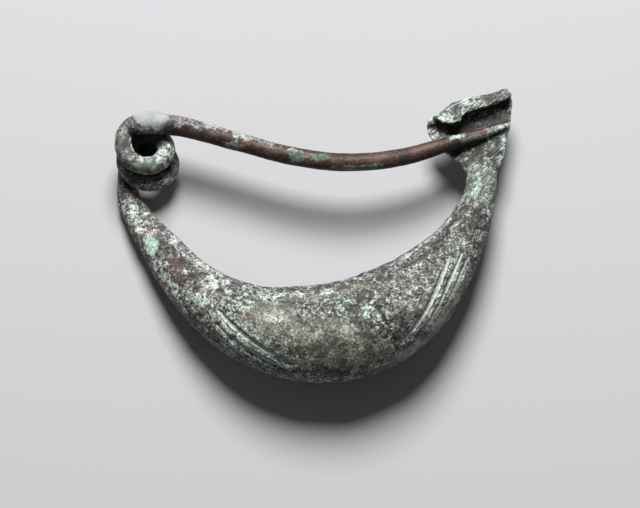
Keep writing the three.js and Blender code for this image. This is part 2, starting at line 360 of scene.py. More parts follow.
@dataclass
class Body:
    """The bow, coil and pin: one body of round section, drawn through stations."""

    bow_depth: float = 0.92
    heel_depth: float = 1.0
    heel_range: Span = (0.0, 10.0)
    arm_bend: float = 2.86
    arm_range: Span = (8.0, 33.0)
    sides: int = 56
    ring_step: float = 1 / 12
    coil_ring_step: float = 1 / 3
    coil: Coil = field(default_factory=Coil)
    foot: tuple = ((26.5, 17.6, 0.0, 2.2, 0.4), (26.0, 15.2, 0.0, 2.5, 0.85),
                   (25.6, 12.6, 0.0, 2.5, 2.1))
    bow: tuple = ((25.3, 9.6, 2.6), (24.0, 5.8, 3.1), (21.65, 1.3, 4.15), (18.2, -3.3, 5.5),
                  (14.4, -7.1, 6.8), (9.5, -10.3, 7.7), (3.5, -12.5, 8.05), (-3.4, -12.85, 7.7),
                  (-10.3, -11.55, 6.65), (-16.4, -8.4, 5.3), (-21.6, -3.85, 4.15),
                  (-25.95, 1.55, 3.25), (-29.3, 6.1, 2.45), (-31.5, 10.2, 1.85))
    pin: tuple = ((-22.8, 20.3, 4.4, 1.65), (-13.8, 17.8, 4.2, 1.55), (-4.8, 15.3, 4.1, 1.5),
                  (4.1, 14.2, 3.9, 1.5), (13.0, 15.2, 3.1, 1.45), (21.8, 18.1, 2.0, 1.15),
                  (26.3, 19.6, 1.25, 0.8), (30.2, 21.0, 0.75, 0.4))
    rows: Array = field(init=False)

    def __post_init__(self) -> None:
        """Lists the stations from the foot to the pin's tip."""
        bow = []
        for x, y, half in self.bow:
            drop = self.arm_bend * smoothstep(-x, *self.arm_range)
            depth = lerp(self.bow_depth, self.heel_depth, smoothstep(x, *self.heel_range))
            bow.append((x, y, -drop, half, half * depth))
        pin = [(x, y, z, radius, radius) for x, y, z, radius in self.pin]
        coil = self.coil.stations(-self.arm_bend)
        self.rows = np.array([*self.foot, *bow, *coil, *pin])

    @property
    def coil_start(self) -> int:
        """Place of the coil's first station."""
        return len(self.foot) + len(self.bow)

    @property
    def pin_start(self) -> int:
        """Place of the pin's first station."""
        return len(self.rows) - len(self.pin)

    @staticmethod
    def _curve(points: Array, places: Array) -> Array:
        """Centripetal curve through points.

        Args:
            points: The points, one a row.
            places: Where to take it, counted in points from the first.

        Returns:
            One row for each place.
        """
        padded = np.vstack([2 * points[0] - points[1], points, 2 * points[-1] - points[-2]])
        whole = np.minimum(places.astype(int), len(points) - 2)
        t = (places - whole)[:, None]
        p0, p1, p2, p3 = (padded[whole + k] for k in range(4))
        d0, d1, d2 = (np.sqrt(np.linalg.norm(b - a, axis=1))[:, None]
                      for a, b in ((p0, p1), (p1, p2), (p2, p3)))
        d1 = np.where(d1 < 1e-4, 1.0, d1)
        d0 = np.where(d0 < 1e-4, d1, d0)
        d2 = np.where(d2 < 1e-4, d1, d2)
        m1 = ((p1 - p0) / d0 - (p2 - p0) / (d0 + d1) + (p2 - p1) / d1) * d1
        m2 = ((p2 - p1) / d1 - (p3 - p1) / (d1 + d2) + (p3 - p2) / d2) * d1
        return (p1 + m1 * t + (3 * (p2 - p1) - 2 * m1 - m2) * t**2
                + (2 * (p1 - p2) + m1 + m2) * t**3)

    def frames(self, places: Array) -> tuple[Array, ...]:
        """Centre, outward and side directions, and sizes of the body.

        Args:
            places: Where, counted in stations from the foot.

        Returns:
            Centres, outward directions, side directions, and (half height, half thickness) rows.
        """
        last = len(self.rows) - 1.0
        step = 0.0001 * last
        centre = self._curve(self.rows[:, :3], places)
        along = (self._curve(self.rows[:, :3], np.minimum(places + step, last))
                 - self._curve(self.rows[:, :3], np.maximum(places - step, 0.0)))
        along /= np.linalg.norm(along, axis=1)[:, None]
        sizes = np.pad(self.rows[:, 3:], ((0, 0), (0, 1)))
        size = self._curve(sizes, places)[:, :2]
        outward = np.stack([-along[:, 1], along[:, 0], np.zeros(len(along))], axis=1)
        outward /= np.linalg.norm(outward, axis=1)[:, None]
        side = np.cross(along, outward)
        return centre, outward, side, size

    def skin(self, places: Array, around: Array) -> Array:
        """Points of the skin.

        Args:
            places: Stations from the foot.
            around: Radians from the bow's outer edge, positive towards the pin's side.

        Returns:
            One row for each place.
        """
        centre, outward, side, size = self.frames(places)
        return (centre + outward * (size[:, 0] * np.cos(around))[:, None]
                + side * (size[:, 1] * np.sin(around))[:, None])

    def ring_places(self) -> Array:
        """Where the body's rings stand: closer where it is longer between stations."""
        coil, pin, last = self.coil_start, self.pin_start, len(self.rows) - 1
        return np.concatenate([
            np.arange(0, coil, self.ring_step), np.arange(coil, pin, self.coil_ring_step),
            np.arange(pin, last, self.ring_step), [last]])

    def build(self, bm: BMesh) -> None:
        """Draws the body out, ring after ring.

        Args:
            bm: Takes the body.
        """
        centre, outward, side, size = self.frames(self.ring_places())
        rings = []
        for c, o, s, (half, thick) in zip(centre, outward, side, size):
            along = np.cross(o, s)
            rings.append(Matrix([(o[i] * half, s[i] * thick, along[i], c[i]) for i in range(3)]
                                + [(0.0, 0.0, 0.0, 1.0)]))
        made = bmesh.ops.create_circle(bm, cap_ends=True, segments=self.sides, radius=1.0,
                                       matrix=rings[0])
        ring = set(made["verts"])
        edges = [e for e in bm.edges if ring.issuperset(e.verts)]
        for before, after in zip(rings, rings[1:]):
            drawn = bmesh.ops.extrude_edge_only(bm, edges=edges)["geom"]
            ring = {v for v in drawn if isinstance(v, BMVert)}
            edges = [e for e in drawn
                     if isinstance(e, BMEdge) and ring.issuperset(e.verts)]
            bmesh.ops.transform(bm, matrix=after @ before.inverted(), verts=list(ring))
        bmesh.ops.contextual_create(bm, geom=edges)


# ---- the catch -------------------------------------------


@dataclass
class Catch:
    """The catch-plate with its rolled edge, broken at both ends and along its lip."""

    sheet: float = 1.1
    radius: float = 1.9
    slope: float = math.radians(19)
    start: tuple[float, float, float] = (18.7, 22.65, 0.0)
    ends: Span = (-2.3, 12.4)
    lip: float = 2.75
    hump: float = 1.0
    hump_rise: Span = (-0.5, 3.0)
    hump_fall: Span = (5.0, 10.0)
    hump_rest: float = 0.45
    arc_steps: int = 28
    roll_steps: int = 40
    plate: tuple = ((23.4, 11.8), (27.7, 11.8), (28.0, 13.7), (28.7, 14.2), (29.3, 15.9),
                    (29.5, 17.2), (30.0, 19.8), (30.3, 20.4), (30.6, 22.8), (30.5, 24.9),
                    (18.2, 20.7), (16.8, 21.0), (17.2, 19.6), (18.2, 18.3), (19.8, 16.6),
                    (21.4, 15.2), (22.1, 14.8), (23.0, 13.2))
    lip_breaks: tuple = (
        ((-3, -2), (-0.9, -2), (-0.7, 0.6), (0.1, 1.9), (1.2, 2.5), (1.6, 4), (-3, 4)),
        ((3.0, 5), (3.2, 2.6), (3.7, 1.9), (5.2, 1.7), (8, 1.8), (13, 1.5), (13, 5)))
    end_breaks: tuple = (
        ((-3, -2), (-0.9, -2), (-0.9, 0.1), (-1.8, 0.3), (-2.3, 1.1), (-3, 1.2)),
        ((11.4, -2), (12.2, 0.9), (12.1, 1.8), (11.3, 3.9), (11.3, 6), (14, 6), (14, -2)))

    @property
    def axes(self) -> tuple[Vector, Vector, Vector]:
        """Directions along the roll, up across it, and out to the pin's side."""
        cos, sin = math.cos(self.slope), math.sin(self.slope)
        return Vector((cos, sin, 0.0)), Vector((-sin, cos, 0.0)), Vector((0.0, 0.0, 1.0))

    def _slab(self, corners: list[Vector], depth: Vector) -> BMesh:
        """Closed slab.

        Args:
            corners: Its outline.
            depth: How far and which way it is extruded.

        Returns:
            A bmesh of the slab.
        """
        bm = bmesh.new()
        face = bm.faces.new([bm.verts.new(c) for c in corners])
        drawn = bmesh.ops.extrude_face_region(bm, geom=[face])["geom"]
        verts = [v for v in drawn if isinstance(v, BMVert)]
        bmesh.ops.translate(bm, vec=depth, verts=verts)
        bmesh.ops.recalc_face_normals(bm, faces=bm.faces)
        return bm

    def _profile(self) -> list[tuple[float, float]]:
        """Section of the roll as (out, up) from its top: the sheet, up and over, and the lip."""
        middle, inner = self.radius - self.sheet / 2, self.radius - self.sheet
        turn = np.linspace(math.pi, 0.0, self.arc_steps)
        outer = [(middle + self.radius * math.cos(a), -self.radius + self.radius * math.sin(a))
                 for a in turn]
        hollow = [(middle + inner * math.cos(a), -self.radius + inner * math.sin(a))
                  for a in turn[::-1]]
        return [(-self.sheet / 2, -self.lip), *outer, (middle + self.radius, -self.lip),
                (middle + inner, -self.lip), *hollow, (self.sheet / 2, -self.lip)]

    def build(self) -> list[Object]:
        """Makes the plate and the broken roll.

        Returns:
            Their objects, with the cuts still as modifiers.
        """
        along, up, out = self.axes
        start = Vector(self.start)
        plate = mesh_object("plate", self._slab(
            [Vector((x, y, -self.sheet / 2)) for x, y in self.plate], out * self.sheet))
        near = start + along * self.ends[0]
        bm = self._slab([near + out * o + up * u for o, u in self._profile()],
                        along * (self.ends[1] - self.ends[0]))
        for k in range(1, self.roll_steps):
            at = near + along * (self.ends[1] - self.ends[0]) * k / self.roll_steps
            bmesh.ops.bisect_plane(bm, geom=[*bm.verts, *bm.edges, *bm.faces], plane_co=at,
                                   plane_no=along)
        for vert in bm.verts:
            run, level = (vert.co - start).dot(along), (vert.co - start).dot(up)
            hump = smoothstep(run, *self.hump_rise) * lerp(
                1.0, self.hump_rest, smoothstep(run, *self.hump_fall))
            vert.co += up * float(self.hump * hump * smoothstep(level, -self.radius, 0.0))
        roll = mesh_object("roll", bm)
        cuts = [(b, self.radius - self.sheet / 2) for b in self.lip_breaks]
        cuts += [(b, -self.radius) for b in self.end_breaks]
        for outline, level in cuts:
            cutter = mesh_object("cutter", self._slab(
                [start + along * a - up * b + out * level for a, b in outline],
                out * 3 * self.radius))
            cut = roll.modifiers.new("break", "BOOLEAN")
            cut.operation = "DIFFERENCE"
            cut.solver = "EXACT"
            cut.object = cutter
            cutter.hide_render = True
        return [plate, roll]


# ---- how it lies -----------------------------------------


@dataclass
class Lying:
    """The brooch on its side: on a worn flat of the belly and on its coil."""

    rise: float = math.radians(2.0)
    fall: float = math.radians(3.6)
    flat: float = 0.3
    shift: Array = field(default_factory=lambda: np.zeros(3))

    @property
    def turn(self) -> Array:
        """The turn as a 3 x 3 matrix."""
        return np.array(Matrix.Rotation(-self.fall, 3, "X") @ Matrix.Rotation(-self.rise, 3, "Y"))

    def settle(self, points: Array) -> None:
        """Finds the shift that lays a bare body on the ground, over the origin.

        Args:
            points: The bare body's points in its own plane.
        """
        turned = points @ self.turn.T
        low, high = turned.min(axis=0), turned.max(axis=0)
        middle = (low + high) / 2
        self.shift = np.array([-middle[0], -middle[1], -low[2] - self.flat])

    def place(self, points: Array) -> Array:
        """Points in metres as the brooch lies."""
        return (points @ self.turn.T + self.shift) * MM


# ---- wear and corrosion, with painted highlights and shade ---


@dataclass(frozen=True)
class Groove:
    """A cut groove between two places of (stations from the foot, degrees around)."""

    start: Span
    end: Span
    width: float
    depth: float
    steps: int = 60
    tip: float = 0.2
    look: float = 1.5
    blur: float = 0.08

    def cut(self, body: Body, face: Face, points: Array) -> tuple[Array, ...]:
        """Works out the groove.

        Args:
            body: The body that it is cut in.
            face: The side of the brooch that it is on.
            points: Points in the brooch's own plane.

        Returns:
            The points near it, how deep each is cut, and how near each is to its middle.
        """
        share = np.linspace(0.0, 1.0, self.steps)
        places, around = (np.interp(share, (0, 1), ends) for ends in zip(self.start, self.end))
        line = body.skin(places, face.value * np.radians(around))
        taper = self.tip + (1.0 - self.tip) * np.sqrt(np.sin(np.pi * share))
        box = (points > line.min(axis=0) - self.look) & (points < line.max(axis=0) + self.look)
        index = np.flatnonzero(box.all(axis=1))
        gap = np.linalg.norm(points[index][:, None] - line[None], axis=2)
        best = gap.argmin(axis=1)
        reach = gap[np.arange(len(index)), best] / (self.width / 2 * taper[best] + self.blur)
        depth = np.clip(1.0 - reach**2, 0.0, 1.0) * self.depth * taper[best]
        return index, depth, np.clip(1.0 - reach, 0.0, 1.0)


GROOVES = tuple(Groove(*row) for row in (
    ((5.5, 82), (7.9, 37), 1.3, 0.5), ((5.25, 66), (7.4, 34), 1.1, 0.45),
    ((5.2, 50), (6.8, 30), 1.0, 0.4), ((11.85, 77), (10.05, 37), 1.35, 0.55),
    ((11.7, 54), (10.2, 27), 1.15, 0.45), ((11.6, 36), (11.0, 27), 0.9, 0.35),
    ((10.05, 40), (9.75, 34), 0.6, 0.25), ((4.65, 42), (4.3, 37), 0.6, 0.22),
))


class Where(Enum):
    """What a patch's two coordinates mean."""

    BODY = "stations from the foot, and degrees around"
    CATCH = "millimetres along the roll, and below its top"


@dataclass(frozen=True)
class Patch:
    """A patch of the skin that wears or corrodes in its own way, or holds painted highlight or
    painted shade; its reaches are in millimetres.
    """

    name: str
    first: float
    second: float
    along: float
    across: float
    ragged: float = 0.35
    where: Where = Where.BODY


PATCHES = tuple(Patch(*row) for row in (
    # the bow's middle: smooth olive corrosion, with a few spots; the long mint strip along the
    # inner edge is a painted highlight where that edge faces the light
    ("olive", 10.6, 92, 5.5, 3.6), ("olive", 9.4, 68, 7.0, 4.6), ("olive", 8.9, 46, 7.5, 2.6),
    ("olive", 9.4, 132, 7.5, 1.6), ("olive", 7.6, 16, 9.0, 1.6),
    ("mint", 10.5, 94, 0.85, 0.7, 0.2), ("mint", 8.4, 92, 1.6, 0.9, 0.7),
    ("mint", 10.2, 136, 8.0, 0.8, 0.8), ("pale", 10.9, 112, 3.2, 1.8, 0.9),
    ("ochre", 10.05, 70, 0.9, 0.7, 0.5), ("ochre", 8.5, 72, 0.45, 0.45, 0.3),
    ("ochre", 9.5, 26, 2.4, 0.7, 0.5), ("ochre", 11.2, 88, 1.2, 0.7, 0.6),
    # the arm towards the coil; the thin mint and pale strips along its inner edge are painted
    # highlight where that edge faces the light, and the small white spot is a painted glint
    ("mint", 12.2, 122, 3.2, 1.3, 0.8), ("mint", 12.6, 146, 5.0, 0.8, 0.8),
    ("mint", 15.3, 74, 3.2, 1.9, 0.8), ("mint", 13.4, 45, 4.6, 1.5, 0.8),
    ("mint", 12.4, 70, 2.6, 1.3, 0.9), ("pale", 13.4, 138, 9.0, 1.2, 0.8),
    ("pale", 12.2, 100, 3.6, 2.0, 0.9), ("pale", 14.4, 92, 3.2, 1.6, 0.8),
    ("turquoise", 14.15, 66, 1.5, 1.3, 0.3), ("ochre", 13.25, 80, 2.2, 1.4, 0.4),
    ("ochre", 16.0, 132, 1.2, 0.8, 0.5), ("white", 13.05, 96, 0.45, 0.25, 0.4),
    ("dark", 13.9, 100, 2.6, 1.0, 0.7), ("dark", 13.1, 88, 3.4, 1.8, 0.9),
    # the neck towards the catch; the black strip along the outer edge is painted shade on the side
    # turned from the light, and the mint strip along the inner edge is a painted highlight
    ("mint", 2.7, 100, 2.6, 0.7, 1.2), ("soot", 5.6, -4, 9.0, 1.2, 0.4),
    ("olive", 6.5, 25, 8.0, 1.1, 0.25), ("dark", 4.2, 96, 2.6, 2.0, 1.0),
    ("dark", 5.2, 118, 4.2, 1.5, 0.8), ("dark", 7.75, 70, 1.4, 0.8, 1.0),
    ("mint", 5.4, 148, 8.0, 0.7, 0.8), ("pale", 7.3, 84, 4.0, 2.6, 0.8),
    # the coil: pale on its top turn, towards the hole and the light, partly mineral and partly
    # painted highlight; the thin white arcs on the hole's rim are painted highlights
    ("mint", 42.4, 104, 1.8, 1.0, 0.8), ("mint", 44.6, 118, 1.5, 0.7, 0.5),
    ("green", 45.0, 66, 2.8, 0.9, 0.9), ("mint", 50.6, 84, 1.2, 0.7, 0.8),
    ("white", 44.8, 150, 2.4, 0.24, 0.2), ("white", 48.4, 160, 1.1, 0.34, 0.2),
    ("white", 49.6, 150, 0.4, 0.3, 0.3), ("dark", 51.8, 112, 2.4, 0.8, 0.5),
    # the pin: crusted at its root, bare along its middle, green along its lower edge
    ("mend", 53.26, 60, 3.0, 2.2, 0.12), ("mauve", 54.15, 45, 5.0, 1.6, 0.7),
    ("mauve", 55.3, 30, 5.5, 1.0, 0.8), ("mint", 54.5, 40, 1.6, 0.9, 0.7),
    ("mint", 55.1, 55, 1.5, 0.9, 0.7), ("green", 53.80, 40, 0.35, 1.8, 0.3),
    ("green", 55.0, 140, 1.6, 0.8, 0.6), ("green", 56.1, 100, 1.3, 1.1, 0.6),
    ("mint", 56.05, 60, 1.2, 0.35, 0.6), ("green", 56.5, 88, 1.6, 0.7, 0.7),
    ("green", 57.2, 146, 4.6, 0.55, 0.5), ("mint", 57.6, 6, 2.0, 0.3, 0.5),
    ("red", 59.62, 72, 2.0, 0.42, 0.4), ("red", 59.15, 104, 1.2, 0.34, 0.4),
    ("mint", 59.05, 62, 2.2, 0.6, 1.1), ("green", 59.5, 126, 2.6, 0.5, 0.5),
    # the catch; the dark and black patches about 3.5 mm below the roll's top are painted shade
    # under the lip
    ("mint", 5.3, -0.4, 1.8, 0.7, 0.4, Where.CATCH),
    ("mint", 0.6, 1.2, 1.2, 0.7, 0.7, Where.CATCH),
    ("mint", -1.3, 3.0, 1.0, 1.4, 0.4, Where.CATCH),
    ("rust", 9.8, 0.2, 3.0, 1.6, 0.4, Where.CATCH), ("dark", 2.9, 0.6, 1.2, 0.7, 0.6, Where.CATCH),
    ("dark", 5.9, 3.6, 3.0, 0.8, 0.5, Where.CATCH), ("soot", 2.4, 3.5, 2.6, 1.0, 0.3, Where.CATCH),
))

NAMES = (
    "olive", "mint", "pale", "crack", "turquoise", "ochre", "white", "dark", "rust", "soot",
    "mauve", "green", "red", "groove", "mend", "crust", "bronze", "raised", "recess", "plate",
    "streak", "turns",
)


@dataclass
class Corrosion:
    """Shapes the skin's wear and corrosion, and says where each finish lies, painted highlights and
    painted shade among them.

    Points are in the brooch's own plane, sizes in millimetres, and a span is where a smooth step
    starts and ends. Spans called "at" count stations from the foot, those called "around" degrees.
    """

    body: Body
    catch: Catch
    samples: int = 1400
    batch: int = 4000
    # where the parts of the brooch begin and end
    off_body: Span = (0.25, 0.6)
    catch_side: float = 14.0
    foot_end: float = 1.6
    pin_blend: Span = (-0.3, 0.2)
    root_end: float = 53.72
    coil_blend: float = 0.5
    # relief
    lump_noise: Noise = Noise(5.0, 2, 3.0)
    lumps: float = 0.12
    pin_lumps: float = 0.5
    wear: float = 0.04
    crust_noise: Noise = Noise(1.2, 4, 11.0)
    crust_height: float = 0.10
    pit_noise: Noise = Noise(1.0, 2, 19.0)
    pit_depth: float = 0.2
    pit_level: float = 0.18
    olive_calm: float = 0.75
    pin_calm: float = 0.75
    mend_calm: float = 0.9
    mend_swell: float = 0.13
    crack_depth: float = 0.15
    crack_share: float = 0.3
    crack_at: Span = (53.1, 52.8)
    crack_from: float = 50.0
    groove_crust: float = 0.25
    # the thick crust right of the bow's middle, and the crack along its edge
    edge_height: float = 0.14
    edge_cut: float = 0.16
    edge_at: float = 8.12
    edge_noise: Noise = Noise(2.0, 2, 5.0)
    edge_waver: float = 0.05
    edge_width: float = 0.07
    edge_around: tuple[Span, Span] = ((14.0, 30.0), (104.0, 88.0))
    # how far each finish reaches
    patch_noise: Noise = Noise(1.1, 3, 7.0)
    patch_fade: Span = (1.15, 0.7)
    patch_ahead: float = 0.05
    catch_front: Span = (-0.2, 0.3)
    right_crust_at: tuple[Span, Span] = ((8.15, 8.0), (3.0, 4.5))
    left_crust_at: Span = (11.2, 12.2)
    coil_crust_at: Span = (45.8, 47.2)
    neck_at: Span = (4.2, 2.6)
    bare_pin_at: Span = (60.5, 59.8)
    # painted shade: the coil's lower turns are darkened, and its hole and the lower turns seen
    # through it painted black
    low_turns_at: Span = (39.0, 36.0)
    low_turns_shade: float = 0.5
    hole_around: Span = (165.0, 178.0)
    hole_shade: float = 0.7
    inner_turns_at: Span = (41.0, 39.0)
    inner_around: Span = (92.0, 120.0)

    def locate(self, points: Array) -> tuple[Array, Array, Array]:
        """Nearest place of the body's line to each point.

        Args:
            points: The points.

        Returns:
            Places, degrees around, and distances off the body's skin.
        """
        places = np.linspace(0.0, len(self.body.rows) - 1.0, self.samples)
        centre, outward, side, size = self.body.frames(places)
        nearest = np.empty(len(points), dtype=int)
        for start in range(0, len(points), self.batch):
            part = points[start:start + self.batch]
            gap = np.linalg.norm(part[:, None] - centre[None], axis=2) - size[None, :, 0]
            nearest[start:start + self.batch] = gap.argmin(axis=1)
        offset = points - centre[nearest]
        out = (offset * outward[nearest]).sum(axis=1) / size[nearest, 0]
        over = (offset * side[nearest]).sum(axis=1) / size[nearest, 1]
        off = (np.hypot(out, over) - 1.0) * size[nearest].min(axis=1)
        return places[nearest], np.degrees(np.arctan2(over, out)), off

    def groove_cut(self, points: Array) -> tuple[Array, Array]:
        """Depth of the cut ornament, and how near each point is to a groove's middle.

        Args:
            points: The points.

        Returns:
            Depths and nearness.
        """
        depth, near = np.zeros(len(points)), np.zeros(len(points))
        for face in Face:
            for groove in GROOVES:
                index, cut, middle = groove.cut(self.body, face, points)
                depth[index] = np.maximum(depth[index], cut)
                near[index] = np.maximum(near[index], middle)
        return depth, near

    def patch_shares(self, points: Array) -> Shares:
        """How strongly each kind of patch covers each point.

        Args:
            points: The points.

        Returns:
            A share from 0 to 1 for each point, by the patches' names.
        """
        shares = {name: np.zeros(len(points)) for name in NAMES}
        edge = self.patch_noise.over(points)
        start = np.array(self.catch.start)
        along_roll, up_roll, _ = (np.array(axis) for axis in self.catch.axes)
        for patch in PATCHES:
            if patch.where is Where.CATCH:
                centre = start + along_roll * patch.first - up_roll * patch.second
                offset = (points - centre) * (1.0, 1.0, 0.0)
                along, front = along_roll, smoothstep(points[:, 2], *self.catch_front)
            else:
                place, around = np.array([patch.first]), np.radians([patch.second])
                centre = self.body.skin(place, around)[0]
                ahead = self.body.skin(place + self.patch_ahead, around)[0]
                along = (ahead - centre) / np.linalg.norm(ahead - centre)
                offset, front = points - centre, 1.0
            run = offset @ along
            rest = np.sqrt(np.maximum((offset**2).sum(axis=1) - run**2, 0.0))
            reach = np.hypot(run / patch.along, rest / patch.across) + edge * patch.ragged
            cover = smoothstep(reach, *self.patch_fade) * front
            shares[patch.name] = np.maximum(shares[patch.name], cover)
        return shares

    def zones(self, points: Array, places: Array, off: Array) -> Shares:
        """Which part of the brooch each point belongs to.

        Args:
            points: The points.
            places: Their stations from the foot.
            off: Their distances off the body's skin.

        Returns:
            Shares of the catch, pin, coil and bow.
        """
        catch = smoothstep(off, *self.off_body) * (points[:, 0] > self.catch_side)
        catch = np.maximum(catch, (places < self.foot_end) * 1.0)
        blend = (self.root_end + self.pin_blend[0], self.root_end + self.pin_blend[1])
        bow_end = self.body.coil_start - self.coil_blend
        return {
            "catch": catch,
            "pin": smoothstep(places, *blend) * (1 - catch),
            "coil": ((places > bow_end) & (places < self.root_end)) * (1 - catch),
            "bow": (places < bow_end) * (1 - catch)}

    def reaches(self, shares: Shares, zones: Shares,
                places: Array, around: Array) -> Array:
        """Adds the finishes that follow the brooch's parts to those of the patches, painted shade
        in the coil among them.

        Args:
            shares: The patches' shares, which it adds to.
            zones: Shares of the brooch's parts.
            places: The points' stations from the foot.
            around: Their degrees around the body.

        Returns:
            The share of the thick crust right of the bow's middle.
        """
        shares["mend"] *= 1 - zones["catch"]
        rim = np.abs(shares["mend"] - self.crack_share) / self.crack_share
        shares["crack"] = (np.clip(1.0 - rim, 0.0, 1.0) * smoothstep(places, *self.crack_at)
                           * (places > self.crack_from))
        shares["bronze"] = zones["pin"] * smoothstep(places, *self.bare_pin_at)
        shares["plate"] = zones["catch"]
        shares["turns"] = zones["coil"] * 1.0
        right = (smoothstep(places, *self.right_crust_at[0])
                 * smoothstep(places, *self.right_crust_at[1]))
        left = smoothstep(places, *self.left_crust_at)
        bow_crust = np.clip(right + left, 0.0, 1.0) * zones["bow"] * (1 - shares["olive"])
        coil_crust = smoothstep(places, *self.coil_crust_at) * zones["coil"]
        shares["crust"] = np.maximum(bow_crust, coil_crust)
        shares["streak"] = smoothstep(places, *self.neck_at) * zones["bow"]
        # painted shade on the lower turns, which lie under the top turn
        low = smoothstep(places, *self.low_turns_at) * zones["coil"]
        shares["dark"] = np.maximum(shares["dark"], low * self.low_turns_shade)
        # painted shade: black on the wall of the coil's hole and on the lower turns' inner sides
        # seen through it
        turned = np.abs(around)
        hole = smoothstep(turned, *self.hole_around) * self.hole_shade
        inner = smoothstep(places, *self.inner_turns_at) * smoothstep(turned, *self.inner_around)
        shares["soot"] = np.maximum(shares["soot"], zones["coil"] * np.maximum(hole, inner))
        return right

    def work(self, points: Array, normals: Array) -> tuple[Array, Shares]:
        """Works the skin.

        Args:
            points: Its points.
            normals: Their outward directions.

        Returns:
            The worked points, and the share of each finish at each of them.
        """
        places, around, off = self.locate(points)
        shares = self.patch_shares(points)
        zones = self.zones(points, places, off)
        depth, near = self.groove_cut(points)
        shares["groove"] = near * zones["bow"]
        right = self.reaches(shares, zones, places, around)

        calm = (shares["olive"] * self.olive_calm + zones["pin"] * self.pin_calm
                + shares["mend"] * self.mend_calm)
        rough = 1.0 - np.clip(calm, 0.0, 1.0)
        crust = self.crust_noise.over(points)
        pit = np.clip(self.pit_noise.over(points) - self.pit_level, 0.0, 1.0)
        lift = self.lump_noise.over(points) * self.lumps * (1 - self.pin_lumps * zones["pin"])
        lift -= self.wear
        lift += (crust * self.crust_height - pit * self.pit_depth) * rough

        waver = self.edge_waver * self.edge_noise.over(points)
        crack = np.clip(1.0 - np.abs(places - self.edge_at - waver) / self.edge_width, 0.0, 1.0)
        for span in self.edge_around:
            crack *= smoothstep(around, *span)
        shares["dark"] = np.maximum(shares["dark"], crack * zones["bow"])
        lift += (right * self.edge_height - crack * self.edge_cut) * zones["bow"]
        lift += shares["mend"] * self.mend_swell - shares["crack"] * self.crack_depth
        lift -= depth * zones["bow"] * (1 + self.groove_crust * crust)
        return points + normals * lift[:, None], shares


# ---- finishes --------------------------------------------


@dataclass(frozen=True)
class Layers:
    """What the patina is mixed from: a graph, the finishes' shares, three noises."""

    graph: Graph
    share: dict[str, Value]
    clouds: Value
    spots: Value
    grains: Value


